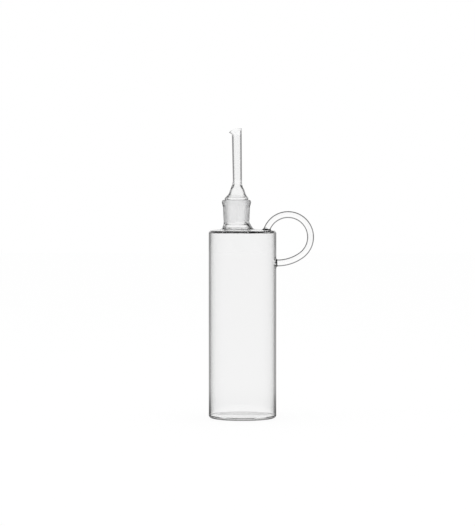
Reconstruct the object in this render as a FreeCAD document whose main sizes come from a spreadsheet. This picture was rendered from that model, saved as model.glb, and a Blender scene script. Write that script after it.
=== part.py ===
"""Oil bottle: a clear glass bottle with a loop handle, and the hollow glass pourer that stops its neck.

Millimetres.  +Z is up.  The origin is the centre of the base, on the axis of the barrel.  The handle is on
the +X side; the neck is set off towards -X, and the pourer's lip points to -X.
"""
import FreeCAD, Part
import math
import os
import Sketcher
from FreeCAD import Placement, Rotation, Vector

SIZES = {
    # Barrel: a blown cylinder with a rounded heel and a shallow push-up under the base.
    "body_diameter": 65.0,
    "body_height": 180.2,
    "wall_thickness": 1.8,
    "base_thickness": 2.8,
    "heel_radius": 3.0,
    "inner_heel_radius": 2.0,
    "push_up": 0.8,
    "foot_ring_width": 4.5,
    # Shoulder: nearly flat, rising from the rim of the barrel to the foot of the neck.
    "shoulder_rise": 2.0,
    "shoulder_radius": 3.8,
    "shoulder_thickness": 2.2,
    # Neck: off centre, with a splayed foot, a ground socket that narrows downwards, and a rolled flange.
    "neck_offset": 5.8,
    "neck_foot_height": 5.4,
    "neck_foot_spread": 3.1,
    "neck_foot_shift": 1.2,
    "neck_foot_radius": 1.6,
    "neck_height": 30.0,
    "neck_wall": 2.2,
    "socket_diameter": 22.4,
    "socket_length": 22.2,
    "socket_slope": 0.05,
    "flange_overhang": 0.91,
    "flange_height": 3.4,
    "flange_flare": 2.8,
    "flange_crown": 0.8,
    "flange_round": 1.2,
    "mouth_edge_round": 0.5,
    # Handle: a solid rod bent to a ring, one foot on the shoulder and the other on the side of the barrel.
    "rod_diameter": 6.6,
    "ring_radius": 21.65,
    "ring_reach": 11.3,
    "ring_drop": 6.1,
    "foot_bend_radius": 38.8,
    "foot_bend_angle": 54.3,
    "weld_radius": 1.5,
    # Pourer: a hollow ground plug that seats in the socket, a collar, a flare and a slim tube.
    "seat_clearance": 0.05,
    "plug_length": 24.4,
    "plug_wall": 1.6,
    "plug_end_round": 0.6,
    "collar_gap": 0.2,
    "collar_overhang": 0.1,
    "collar_height": 2.8,
    "collar_round": 0.9,
    "flare_shift": 0.4,
    "flare_inset": 0.5,
    "flare_knee_radius": 8.2,
    "flare_knee_height": 6.1,
    "flare_bulge_radius": 12.0,
    "flare_top_radius": 5.2,
    "flare_top_height": 12.6,
    "flare_wall": 1.5,
    "tube_foot_diameter": 8.8,
    "tube_foot_height": 17.8,
    "tube_foot_shift": 0.9,
    "tube_top_diameter": 9.4,
    "tube_top_shift": 0.3,
    "tube_wall": 1.4,
    "pourer_height": 68.4,
    "lip_reach": 3.0,
    "lip_rise": 1.9,
    "lip_depth": 6.3,
    "mouth_radius": 22.0,
    "mouth_round": 0.4,
    "vent_diameter": 2.8,
    "vent_height": 11.0,
}

TOUCHING = 0.05        # a point this near to an edge lies on it
SEAM_REACH = 1.6       # rod radii from the centre of a handle's foot that hold its whole seam

document = FreeCAD.newDocument("OilBottle")
sheet = document.addObject("Spreadsheet::Sheet", "Sizes")
for row, (name, number) in enumerate(SIZES.items(), start=1):
    sheet.set("A%d" % row, name)
    sheet.set("B%d" % row, str(number))
    sheet.setAlias("B%d" % row, name)
document.recompute()


UPRIGHT = Vector(0, 0, 1)


class Size:
    """A length that carries its number and the spreadsheet expression that gives it."""

    def __init__(self, number, text):
        self.number = number
        self.text = text

    def combine(self, sign, other, number):
        text = other.text if isinstance(other, Size) else repr(other)
        return Size(number, "(%s %s %s)" % (self.text, sign, text))

    def __add__(self, other):
        return self.combine("+", other, self.number + plain(other))

    def __sub__(self, other):
        return self.combine("-", other, self.number - plain(other))

    def __mul__(self, other):
        return self.combine("*", other, self.number * plain(other))

    def __truediv__(self, other):
        return self.combine("/", other, self.number / plain(other))

    def __neg__(self):
        return Size(-self.number, "(0 - %s)" % self.text)


def plain(value):
    """The number behind a Size, or the number itself."""
    return value.number if isinstance(value, Size) else value


def size(name):
    """A named size from the sheet."""
    return Size(SIZES[name], "Sizes.%s" % name)


def root(value):
    return Size(math.sqrt(value.number), "sqrt(%s)" % value.text)


def cosine(angle):
    return Size(math.cos(math.radians(angle.number)), "cos(%s * 1 deg)" % angle.text)


def sine(angle):
    return Size(math.sin(math.radians(angle.number)), "sin(%s * 1 deg)" % angle.text)


# -----------------------------------------------------------------------------
# Sketches and features
# -----------------------------------------------------------------------------


def add_sketch(body, name, plane, shift=None):
    """A sketch on one of the body's own origin planes, moved by shift, a dict of axis letter to Size."""
    sketch = body.newObject("Sketcher::SketchObject", name)
    support = [item for item in body.Origin.OriginFeatures if item.Role == plane][0]
    sketch.AttachmentSupport = [(support, "")]
    sketch.MapMode = "FlatFace"
    for axis, distance in (shift or {}).items():
        sketch.setExpression("AttachmentOffset.Base.%s" % axis, distance.text)
    return sketch


def constrain(sketch, kind, *arguments):
    """Adds a constraint whose last argument is a Size, and binds it to the sheet."""
    value = arguments[-1]
    index = sketch.addConstraint(Sketcher.Constraint(kind, *arguments[:-1], value.number))
    sketch.setExpression("Constraints[%d]" % index, value.text)


def place_point(sketch, geometry, end, across, along):
    """Holds a point of a sketch at its distances from the origin; 0 puts it on the axis."""
    if plain(across) == 0:
        sketch.addConstraint(Sketcher.Constraint("PointOnObject", geometry, end, -2))
    else:
        constrain(sketch, "DistanceX", -1, 1, geometry, end, across)
    if plain(along) == 0:
        sketch.addConstraint(Sketcher.Constraint("PointOnObject", geometry, end, -1))
    else:
        constrain(sketch, "DistanceY", -1, 1, geometry, end, along)


def arc_between(start, end, radius, turn):
    """The arc of a circle from start to end; turn +1 runs anticlockwise, -1 clockwise."""
    chord = end - start
    depth = math.sqrt(radius * radius - chord.Length * chord.Length / 4)
    left = Vector(-chord.y, chord.x, 0).normalize()
    centre = (start + end) / 2 + left * depth * turn
    first, last = (start, end) if turn > 0 else (end, start)
    angles = [math.atan2(point.y - centre.y, point.x - centre.x) for point in (first, last)]
    if angles[1] < angles[0]:
        angles[1] += 2 * math.pi
    return Part.ArcOfCircle(Part.Circle(centre, UPRIGHT, radius), *angles)


def draw_outline(sketch, corners):
    """A closed outline of corners (across, along), or (across, along, radius, turn) to run on as an arc."""
    points = [Vector(plain(corner[0]), plain(corner[1]), 0) for corner in corners]
    ends = []
    for index, corner in enumerate(corners):
        start = points[index]
        end = points[(index + 1) % len(points)]
        if len(corner) == 2:
            sketch.addGeometry(Part.LineSegment(start, end))
            ends.append((1, 2))
        else:
            radius, turn = corner[2:]
            sketch.addGeometry(arc_between(start, end, radius.number, turn))
            ends.append((1, 2) if turn > 0 else (2, 1))
    for index, corner in enumerate(corners):
        following = (index + 1) % len(corners)
        join = Sketcher.Constraint("Coincident", index, ends[index][1], following, ends[following][0])
        sketch.addConstraint(join)
        place_point(sketch, index, ends[index][0], corner[0], corner[1])
        if len(corner) == 4:
            constrain(sketch, "Radius", index, corner[2])


def add_feature(body, kind, name, **settings):
    """A PartDesign feature, recomputed at once, so that what follows can find its edges."""
    feature = body.newObject("PartDesign::" + kind, name)
    for setting, value in settings.items():
        setattr(feature, setting, value)
    document.recompute()
    return feature


def add_cut(body, kind, name, **settings):
    """A feature that takes material away, and must."""
    before = body.Tip.Shape.Volume
    feature = add_feature(body, kind, name, **settings)
    if not feature.Shape.Volume < before:
        raise RuntimeError("%s removes nothing" % name)
    return feature


def revolve(body, name, corners, shift=None, cut=False):
    """Turns an outline drawn beside the sketch's own upright axis."""
    sketch = add_sketch(body, name + "_outline", "XZ_Plane", shift)
    draw_outline(sketch, corners)
    settings = {"Profile": sketch, "ReferenceAxis": (sketch, ["V_Axis"]), "Angle": 360}
    if cut:
        return add_cut(body, "Groove", name, **settings)
    return add_feature(body, "Revolution", name, **settings)


def add_ring(body, name, level, centre, half_length, half_width=None):
    """A level circle, or an oval along X if half_width is given, as a section of a loft."""
    sketch = add_sketch(body, name, "XY_Plane", {"z": level})
    middle = Vector(plain(centre), 0, 0)
    if half_width is None:
        sketch.addGeometry(Part.Circle(middle, UPRIGHT, half_length.number))
        constrain(sketch, "Radius", 0, half_length)
    else:
        tip = middle + Vector(half_length.number, 0, 0)
        side = middle + Vector(0, half_width.number, 0)
        sketch.addGeometry(Part.Ellipse(tip, side, middle))
        sketch.exposeInternalGeometry(0)
        constrain(sketch, "Distance", 1, half_length * 2)
        constrain(sketch, "Distance", 2, half_width * 2)
        sketch.addConstraint(Sketcher.Constraint("Horizontal", 1))
    place_point(sketch, 0, 3, centre, 0)
    return sketch


def loft(body, name, rings, cut=False):
    """Straight-sided loft through level rings, each (level, centre, half_length) or with a half_width too."""
    sections = [add_ring(body, "%s_ring_%d" % (name, index), *ring) for index, ring in enumerate(rings)]
    settings = {"Profile": sections[0], "Sections": sections[1:], "Ruled": True}
    if cut:
        return add_cut(body, "SubtractiveLoft", name, **settings)
    return add_feature(body, "AdditiveLoft", name, **settings)


def add_fillet(body, name, radius, numbers):
    """Fillets the numbered edges of the body as it stands."""
    base = body.Tip
    fillet = body.newObject("PartDesign::Fillet", name)
    fillet.Base = (base, ["Edge%d" % number for number in sorted(numbers)])
    fillet.setExpression("Radius", radius.text)
    document.recompute()
    if not fillet.Shape.isValid():
        raise RuntimeError("%s does not round its edges" % name)


def round_edges(body, name, radius, points):
    """Fillets the edges that pass through the given points."""
    chosen = set()
    for point in points:
        vertex = Part.Vertex(Vector(*[plain(value) for value in point]))
        edges = enumerate(body.Tip.Shape.Edges, start=1)
        near = {number for number, edge in edges if edge.distToShape(vertex)[0] < TOUCHING}
        if not near:
            raise RuntimeError("%s finds no edge at %s" % (name, point))
        chosen |= near
    add_fillet(body, name, radius, chosen)


def round_seam(body, name, radius, centre, reach):
    """Fillets the seam where a rod meets a wall: the edges that stay within reach of the seam's centre."""
    chosen = set()
    for number, edge in enumerate(body.Tip.Shape.Edges, start=1):
        if edge.Degenerated:
            continue
        if all(point.distanceToPoint(centre) < reach for point in edge.discretize(12)):
            chosen.add(number)
    if not chosen:
        raise RuntimeError("%s finds no seam" % name)
    add_fillet(body, name, radius, chosen)


def round_face(body, name, radius, cylinder_radius):
    """Fillets every edge of the face that an arc of the given radius has cut."""
    edges = []
    for face in body.Tip.Shape.Faces:
        if isinstance(face.Surface, Part.Cylinder) and abs(face.Surface.Radius - cylinder_radius) < TOUCHING:
            edges += face.Edges
    numbered = enumerate(body.Tip.Shape.Edges, start=1)
    chosen = {number for number, edge in numbered if any(edge.isSame(other) for other in edges)}
    if not chosen:
        raise RuntimeError("%s finds no face" % name)
    add_fillet(body, name, radius, chosen)


# -----------------------------------------------------------------------------
# Bottle: barrel, shoulder, neck and handle, melted together as one piece of glass
# -----------------------------------------------------------------------------

centred = Size(0, "0")
body_radius = size("body_diameter") / 2
inner_radius = body_radius - size("wall_thickness")
shoulder_level = size("body_height")
neck_axis = -size("neck_offset")
shoulder_top = shoulder_level + size("shoulder_rise")
neck_foot_top = shoulder_top + size("neck_foot_height")
neck_foot_axis = neck_axis + size("neck_foot_shift")
mouth_level = shoulder_level + size("neck_height")
socket_radius = size("socket_diameter") / 2
socket_bottom = mouth_level - size("socket_length")
bore_radius = socket_radius - size("socket_length") * size("socket_slope")
neck_radius = bore_radius + size("neck_wall")
neck_foot_radius = neck_radius + size("neck_foot_spread")
flange_bottom = mouth_level - size("flange_height")
flange_root = flange_bottom - size("flange_flare")
flange_root_radius = socket_radius + size("neck_wall") - (mouth_level - flange_root) * size("socket_slope")
flange_radius = flange_root_radius + size("flange_overhang")
rod_radius = size("rod_diameter") / 2


def add_barrel(body):
    """Solid barrel with a domed push-up inside a flat foot ring."""
    dome_edge = body_radius - size("heel_radius") - size("foot_ring_width")
    dome_radius = (dome_edge * dome_edge + size("push_up") * size("push_up")) / (size("push_up") * 2)
    revolve(body, "Barrel", [
        (0, size("push_up"), dome_radius, -1),
        (dome_edge, 0),
        (body_radius, 0),
        (body_radius, shoulder_level),
        (0, shoulder_level),
    ])
    round_edges(body, "Heel", size("heel_radius"), [(body_radius, 0, 0)])


def add_shoulder_and_neck(body):
    """Eccentric shoulder cone and neck foot, the neck on its own axis, and the flange at its mouth."""
    loft(body, "Shoulder", [
        (shoulder_level, centred, body_radius),
        (shoulder_top, neck_foot_axis, neck_foot_radius),
        (neck_foot_top, neck_axis, neck_radius),
    ])
    revolve(body, "Neck", [
        (0, shoulder_top),
        (neck_radius, shoulder_top),
        (neck_radius, socket_bottom),
        (flange_root_radius, flange_root),
        (flange_radius, flange_bottom),
        (flange_radius, mouth_level - size("flange_crown")),
        (socket_radius, mouth_level),
        (0, mouth_level),
    ], {"x": neck_axis})
    foot_side = neck_foot_axis + neck_foot_radius
    flange_edge = (neck_axis + flange_radius, 0, mouth_level - size("flange_crown"))
    round_edges(body, "Shoulder_round", size("shoulder_radius"), [(body_radius, 0, shoulder_level)])
    round_edges(body, "Neck_foot_round", size("neck_foot_radius"), [(foot_side, 0, shoulder_top)])
    round_edges(body, "Flange_round", size("flange_round"), [flange_edge])


ring_x = body_radius + size("ring_reach")
ring_z = shoulder_level - size("ring_drop")
ring_radius = size("ring_radius")
bend_radius = size("foot_bend_radius")
bend_x = ring_x - (bend_radius - ring_radius) * cosine(size("foot_bend_angle"))
bend_z = ring_z + (bend_radius - ring_radius) * sine(size("foot_bend_angle"))


def add_handle_path(body):
    """Line of the handle: from the barrel's wall along a wide bend, then round the ring to the shoulder."""
    wall_end = inner_radius - size("wall_thickness")
    shoulder_end = shoulder_level - size("shoulder_thickness") - rod_radius
    wall_angle = -math.acos((wall_end.number - bend_x.number) / bend_radius.number)
    join_angle = -math.radians(SIZES["foot_bend_angle"])
    shoulder_angle = math.pi - math.asin((shoulder_end.number - ring_z.number) / ring_radius.number)
    bend = Part.Circle(Vector(bend_x.number, bend_z.number, 0), UPRIGHT, bend_radius.number)
    ring = Part.Circle(Vector(ring_x.number, ring_z.number, 0), UPRIGHT, ring_radius.number)
    path = add_sketch(body, "Handle_path", "XZ_Plane")
    path.addGeometry(Part.ArcOfCircle(bend, wall_angle, join_angle))
    path.addGeometry(Part.ArcOfCircle(ring, join_angle, shoulder_angle))
    path.addConstraint(Sketcher.Constraint("Tangent", 0, 2, 1, 1))
    place_point(path, 1, 3, ring_x, ring_z)
    constrain(path, "Radius", 0, bend_radius)
    constrain(path, "Radius", 1, ring_radius)
    constrain(path, "DistanceX", -1, 1, 0, 3, bend_x)
    constrain(path, "DistanceX", -1, 1, 0, 1, wall_end)
    constrain(path, "DistanceY", -1, 1, 1, 2, shoulder_end)
    document.recompute()
    return path


def add_handle(body):
    """Round rod along the path, welded to the barrel's wall and to the shoulder."""
    path = add_handle_path(body)
    section = body.newObject("Sketcher::SketchObject", "Handle_section")
    section.AttachmentSupport = [(path, "Edge1")]
    section.MapMode = "NormalToEdge"
    section.addGeometry(Part.Circle(Vector(0, 0, 0), UPRIGHT, rod_radius.number))
    section.addConstraint(Sketcher.Constraint("Coincident", 0, 3, -1, 1))
    constrain(section, "Radius", 0, rod_radius)
    document.recompute()
    add_feature(body, "AdditivePipe", "Handle", Profile=section, Spine=(path, []))

    wall_drop = math.sqrt(bend_radius.number ** 2 - (body_radius.number - bend_x.number) ** 2)
    wall_foot = Vector(body_radius.number, 0, bend_z.number - wall_drop)
    foot_level = (shoulder_level.number + shoulder_top.number) / 2
    ring_half = math.sqrt(ring_radius.number ** 2 - (foot_level - ring_z.number) ** 2)
    shoulder_foot = Vector(ring_x.number - ring_half, 0, foot_level)
    reach = rod_radius.number * SEAM_REACH
    round_seam(body, "Wall_weld", size("weld_radius"), wall_foot, reach)
    round_seam(body, "Shoulder_weld", size("weld_radius"), shoulder_foot, reach)


def hollow_bottle(body):
    """Cavity of the barrel, the shoulder and the neck, with the tapered socket at the mouth."""
    floor_level = size("base_thickness")
    ceiling_level = shoulder_level - size("shoulder_thickness")
    ceiling_top = shoulder_top - size("shoulder_thickness")
    foot_cavity_radius = neck_foot_radius - size("neck_wall")
    revolve(body, "Barrel_cavity", [
        (0, floor_level),
        (inner_radius, floor_level),
        (inner_radius, ceiling_level),
        (0, ceiling_level),
    ], cut=True)
    loft(body, "Shoulder_cavity", [
        (ceiling_level, centred, inner_radius),
        (ceiling_top, neck_foot_axis, foot_cavity_radius),
        (neck_foot_top, neck_axis, bore_radius),
    ], cut=True)
    revolve(body, "Socket", [
        (0, ceiling_top),
        (bore_radius, ceiling_top),
        (bore_radius, socket_bottom),
        (socket_radius, mouth_level),
        (0, mouth_level),
    ], {"x": neck_axis}, cut=True)
    round_edges(body, "Inner_heel", size("inner_heel_radius"), [(inner_radius, 0, floor_level)])
    inner_round = size("shoulder_radius") - size("wall_thickness")
    round_edges(body, "Inner_shoulder_round", inner_round, [(inner_radius, 0, ceiling_level)])
    bend = (neck_foot_axis + foot_cavity_radius, 0, ceiling_top)
    round_edges(body, "Inner_neck_foot", inner_round, [bend])
    round_edges(body, "Mouth_edge", size("mouth_edge_round"), [(neck_axis + socket_radius, 0, mouth_level)])


def make_bottle():
    body = document.addObject("PartDesign::Body", "Bottle")
    body.Label = "bottle"
    body.Placement = Placement(Vector(0, 0, 0), Rotation())
    add_barrel(body)
    add_shoulder_and_neck(body)
    add_handle(body)
    hollow_bottle(body)
    return body


# -----------------------------------------------------------------------------
# Pourer: hollow plug, collar, flare and tube, drawn about its own axis from the plane of the bottle's mouth
# -----------------------------------------------------------------------------

plug_top_radius = socket_radius - size("seat_clearance")
plug_end_radius = plug_top_radius - size("plug_length") * size("socket_slope")
collar_radius = socket_radius + size("collar_overhang")
collar_top = size("collar_gap") + size("collar_height")
flare_foot_radius = collar_radius - size("flare_inset")
tube_foot_radius = size("tube_foot_diameter") / 2
tube_top_radius = size("tube_top_diameter") / 2
lip_tip_level = size("pourer_height") - size("lip_depth") + size("lip_rise")
mouth_centre = size("tube_top_shift") - size("lip_reach") / 2
mouth_half_length = tube_top_radius + size("lip_reach") / 2


def add_pourer_outside(body):
    """Solid plug, collar and flare, and the leaning tube that widens into an oval mouth with a lip."""
    revolve(body, "Plug", [
        (0, -size("plug_length")),
        (plug_end_radius, -size("plug_length")),
        (plug_top_radius, size("collar_gap")),
        (collar_radius, size("collar_gap")),
        (collar_radius, collar_top),
        (0, collar_top),
    ])
    round_edges(body, "Collar_round", size("collar_round"), [(collar_radius, 0, collar_top)])
    revolve(body, "Flare", [
        (0, size("collar_gap")),
        (flare_foot_radius, collar_top - size("collar_round")),
        (size("flare_knee_radius"), size("flare_knee_height"), size("flare_bulge_radius"), 1),
        (size("flare_top_radius"), size("flare_top_height")),
        (0, size("flare_top_height")),
    ], {"x": size("flare_shift")})
    loft(body, "Tube", [
        (size("flare_top_height"), size("flare_shift"), size("flare_top_radius")),
        (size("tube_foot_height"), size("tube_foot_shift"), tube_foot_radius),
        (size("pourer_height") - size("lip_depth"), size("tube_top_shift"), tube_top_radius),
        (lip_tip_level, mouth_centre, mouth_half_length, tube_top_radius),
        (size("pourer_height") + 1, mouth_centre, mouth_half_length, tube_top_radius),
    ])


def hollow_pourer(body):
    """Bore from end to end, the sloping mouth, and the air hole in the back of the flare."""
    flare_wall = size("flare_wall")
    tube_wall = size("tube_wall")
    revolve(body, "Plug_cavity", [
        (0, -size("plug_length")),
        (plug_end_radius - size("plug_wall"), -size("plug_length")),
        (plug_top_radius - size("plug_wall"), 0),
        (0, 0),
    ], cut=True)
    revolve(body, "Flare_cavity", [
        (0, -flare_wall),
        (flare_foot_radius - flare_wall, 0),
        (size("flare_knee_radius") - flare_wall, size("flare_knee_height"), size("flare_bulge_radius"), 1),
        (size("flare_top_radius") - flare_wall, size("flare_top_height")),
        (0, size("flare_top_height")),
    ], {"x": size("flare_shift")}, cut=True)
    loft(body, "Tube_bore", [
        (size("flare_top_height"), size("flare_shift"), size("flare_top_radius") - flare_wall),
        (size("tube_foot_height"), size("tube_foot_shift"), tube_foot_radius - tube_wall),
        (size("pourer_height") - size("lip_depth"), size("tube_top_shift"), tube_top_radius - tube_wall),
        (lip_tip_level, mouth_centre, mouth_half_length - tube_wall, tube_top_radius - tube_wall),
        (size("pourer_height") + 1, mouth_centre, mouth_half_length - tube_wall, tube_top_radius - tube_wall),
    ], cut=True)
    cut_mouth(body)
    cut_vent(body)
    end_level = -size("plug_length")
    round_edges(body, "Plug_end_round", size("plug_end_round"), [
        (plug_end_radius, 0, end_level),
        (plug_end_radius - size("plug_wall"), 0, end_level),
    ])


def cut_mouth(body):
    """Takes off everything above an arc that is level at the back of the tube and falls towards the lip."""
    back = size("tube_top_shift") + tube_top_radius
    front = mouth_centre - mouth_half_length - 1
    run = back - front
    fall = size("mouth_radius") - root(size("mouth_radius") * size("mouth_radius") - run * run)
    above = size("pourer_height") + 3
    sketch = add_sketch(body, "Mouth_outline", "XZ_Plane")
    draw_outline(sketch, [
        (back, size("pourer_height"), size("mouth_radius"), 1),
        (front, size("pourer_height") - fall),
        (front, above),
        (back + 1, above),
        (back + 1, size("pourer_height")),
    ])
    add_cut(body, "Pocket", "Mouth", Profile=sketch, Type="ThroughAll", Midplane=True)
    round_face(body, "Mouth_round", size("mouth_round"), SIZES["mouth_radius"])


def cut_vent(body):
    """Small round air hole, level, through the wall of the flare on the side away from the lip."""
    sketch = add_sketch(body, "Vent_outline", "YZ_Plane")
    circle = Part.Circle(Vector(0, SIZES["vent_height"], 0), UPRIGHT, SIZES["vent_diameter"] / 2)
    sketch.addGeometry(circle)
    constrain(sketch, "Radius", 0, size("vent_diameter") / 2)
    place_point(sketch, 0, 3, 0, size("vent_height"))
    vent = add_cut(body, "Pocket", "Vent", Profile=sketch, Type="Length", Reversed=True)
    vent.setExpression("Length", collar_radius.text)


def make_pourer():
    body = document.addObject("PartDesign::Body", "Pourer")
    body.Label = "pourer"
    body.setExpression("Placement.Base.x", neck_axis.text)
    body.setExpression("Placement.Base.z", mouth_level.text)
    add_pourer_outside(body)
    hollow_pourer(body)
    return body


# -----------------------------------------------------------------------------
# Checks and files
# -----------------------------------------------------------------------------

sub_parts = [make_bottle(), make_pourer()]
document.recompute()

for item in document.Objects:
    if "Invalid" in item.State or "Error" in item.State:
        raise RuntimeError("%s failed: %s" % (item.Name, item.State))
for part in sub_parts:
    if part.Shape.isNull() or not part.Shape.isValid() or len(part.Shape.Solids) != 1:
        raise RuntimeError("%s is not one valid solid" % part.Label)

os.makedirs("parts", exist_ok=True)
for part in sub_parts:
    part.Shape.exportStep("parts/%s.step" % part.Label)
    print("%s: %.1f cubic millimetres" % (part.Label, part.Shape.Volume))
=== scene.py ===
"""Models, finishes and lights a glass oil bottle with its ground-in pourer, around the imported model."""

import math
from collections import namedtuple

import bmesh
import bpy
from bpy.props import FloatProperty, FloatVectorProperty, IntProperty, PointerProperty
from bpy.types import Operator, Panel, PropertyGroup
from mathutils import Matrix, Vector


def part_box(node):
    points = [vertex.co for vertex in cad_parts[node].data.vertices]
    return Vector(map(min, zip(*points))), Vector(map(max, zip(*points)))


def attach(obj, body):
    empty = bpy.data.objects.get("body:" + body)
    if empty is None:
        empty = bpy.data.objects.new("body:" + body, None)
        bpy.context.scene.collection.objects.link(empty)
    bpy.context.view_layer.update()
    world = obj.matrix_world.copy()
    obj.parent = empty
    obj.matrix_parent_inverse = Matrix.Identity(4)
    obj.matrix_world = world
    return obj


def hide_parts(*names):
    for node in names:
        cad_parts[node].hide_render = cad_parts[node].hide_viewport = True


bl_info = {
    "name": "Glass oil bottle",
    "version": (1, 0, 0),
    "blender": (4, 5, 0),
    "location": "View3D > Sidebar > Oil bottle",
    "description": "Builds a clear glass oil bottle with a ring handle and a ground-in pourer",
    "category": "Add Mesh",
}

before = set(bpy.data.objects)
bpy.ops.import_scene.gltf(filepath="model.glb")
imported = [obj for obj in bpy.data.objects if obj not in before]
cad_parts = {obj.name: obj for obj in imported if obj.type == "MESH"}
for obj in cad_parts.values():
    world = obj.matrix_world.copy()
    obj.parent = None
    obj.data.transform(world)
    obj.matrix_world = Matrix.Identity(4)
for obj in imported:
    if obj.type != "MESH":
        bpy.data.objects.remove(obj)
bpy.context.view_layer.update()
bottle_low, bottle_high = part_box("bottle")
pourer_low, pourer_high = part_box("pourer")

GROUND = 1  # places of the ground glass and the rod glass among a piece's materials
ROD = 2
BARREL_RADIUS = min(-bottle_low.x, -bottle_low.y, bottle_high.y)
NECK_AXIS = (pourer_low.x + pourer_high.x) / 2
PLUG_DEPTH = 0.0244
MOUTH_LEVEL = pourer_low.z + PLUG_DEPTH


# -----------------------------------------------------------------------------
# Sizes and colours that a user would change
# -----------------------------------------------------------------------------


def length(name, default, description):
    """A length in metres, shown in the scene's unit."""
    return FloatProperty(
        name=name,
        default=default,
        description=description,
        unit="LENGTH",
        subtype="DISTANCE",
        precision=5,
    )


def turn(name, degrees, description):
    """An angle, stated here in degrees."""
    return FloatProperty(
        name=name,
        default=math.radians(degrees),
        description=description,
        unit="ROTATION",
        subtype="ANGLE",
    )


def tone(name, default, description):
    """A grey from black, 0, to white, 1, or a share."""
    return FloatProperty(
        name=name, default=default, min=0.0, max=1.0, description=description, subtype="FACTOR"
    )


def colour(name, default, description):
    """A linear colour."""
    return FloatVectorProperty(
        name=name, default=default, size=3, min=0.0, max=1.0, description=description, subtype="COLOR"
    )


class BottleSizes(PropertyGroup):
    """Barrel, shoulder and neck."""

    segments: IntProperty(name="Segments", default=192, min=32, description="Facets around the glass")
    barrel_radius: length("Barrel radius", BARREL_RADIUS, "Outside radius of the barrel")
    wall: length("Wall", 0.0018, "Thickness of the barrel's wall")
    base: length("Base", 0.0028, "Height of the inside floor above the table")
    push_up: length("Push-up", 0.0008, "Height of the dome under the base")
    foot_ring: length("Foot ring", 0.0045, "Width of the flat ring that the bottle stands on")
    heel_round: length("Heel round", 0.0024, "Radius of the barrel's lower corner")
    inner_heel_round: length("Inner heel round", 0.0004, "Radius of the lower corner inside")
    shoulder_level: length("Shoulder level", 0.1802, "Height of the shoulder's rim")
    shoulder_rise: length("Shoulder rise", 0.002, "How far the shoulder climbs to the neck")
    shoulder_round: length("Shoulder round", 0.0027, "How far the rounding of the rim reaches")
    shoulder_wall: length("Shoulder wall", 0.0021, "Thickness of the shoulder")
    inner_rise: length("Inner rise", 0.003, "How far the shoulder climbs inside")
    inner_shoulder_round: length("Inner shoulder round", 0.0005, "Reach of the rounding inside the rim")
    neck_axis: length("Neck axis", NECK_AXIS, "Place of the neck's axis along X")
    neck_wall: length("Neck wall", 0.0022, "Thickness of the neck around the socket")
    mouth_level: length("Mouth level", MOUTH_LEVEL, "Height of the bottle's mouth")
    socket_radius: length("Socket radius", 0.0112, "Inside radius of the ground socket at the mouth")
    socket_depth: length("Socket depth", 0.0222, "Length of the ground socket")
    taper: FloatProperty(
        name="Taper", default=0.05, description="Radius lost for each unit of length down the joint"
    )
    flange_radius: length("Flange radius", 0.0140, "Radius of the flange at the mouth")
    flange_height: length("Flange height", 0.0034, "Height of the flange")
    flange_flare: length("Flange flare", 0.0028, "Height of the flare that carries the flange")


class HandleSizes(PropertyGroup):
    """Ring handle, a rod melted on at both ends."""

    rod_radius: length("Rod radius", 0.0033, "Radius of the glass rod")
    ring_radius: length("Ring radius", 0.02165, "Radius of the ring's centre line")
    ring_reach: length("Ring reach", 0.01129, "Distance from the barrel's wall to the ring's centre")
    ring_drop: length("Ring drop", 0.0061, "Depth of the ring's centre under the shoulder")
    bend_radius: length("Bend radius", 0.0388, "Radius of the wide bend to the lower foot")
    bend_turn: turn("Bend angle", 54.3, "Angle below level at which the wide bend starts")
    weld: length("Weld", 0.0017, "Radius of the melted foot at each end")
    segments: IntProperty(name="Segments", default=64, min=12, description="Facets around the rod")


class PourerSizes(PropertyGroup):
    """Hollow plug, collar, flare and tube with a lip. Levels count from the bottle's mouth."""

    plug_depth: length("Plug depth", PLUG_DEPTH, "How deep the plug's end sits")
    plug_wall: length("Plug wall", 0.0016, "Thickness of the plug")
    seat: length("Seat", 0.00005, "Clearance between plug and socket")
    collar_gap: length("Collar gap", 0.0002, "Clearance between the mouth and the collar")
    collar_height: length("Collar height", 0.0028, "Height of the collar")
    collar_overhang: length("Collar overhang", 0.0001, "How far the collar stands out past the socket")
    flare_wall: length("Flare wall", 0.0008, "Thickness of the flare")
    tube_wall: length("Tube wall", 0.0014, "Thickness of the tube")
    tube_top: length("Tube top", 0.0627, "Level where the tube starts to widen into its mouth")
    tube_radius: length("Tube radius", 0.0047, "Radius of the tube at its top")
    height: length("Height", pourer_high.z - MOUTH_LEVEL, "Level of the back of the mouth")
    lip_level: length("Lip level", 0.0643, "Level at which the lip reaches its full length")
    lip_reach: length("Lip reach", 0.003, "How far the lip stands out past the tube")
    mouth_arc: length("Mouth arc", 0.021, "Radius of the arc that the mouth is cut along")
    vent_radius: length("Vent radius", 0.0014, "Radius of the air hole")
    vent_level: length("Vent level", 0.0116, "Level of the air hole")


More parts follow.
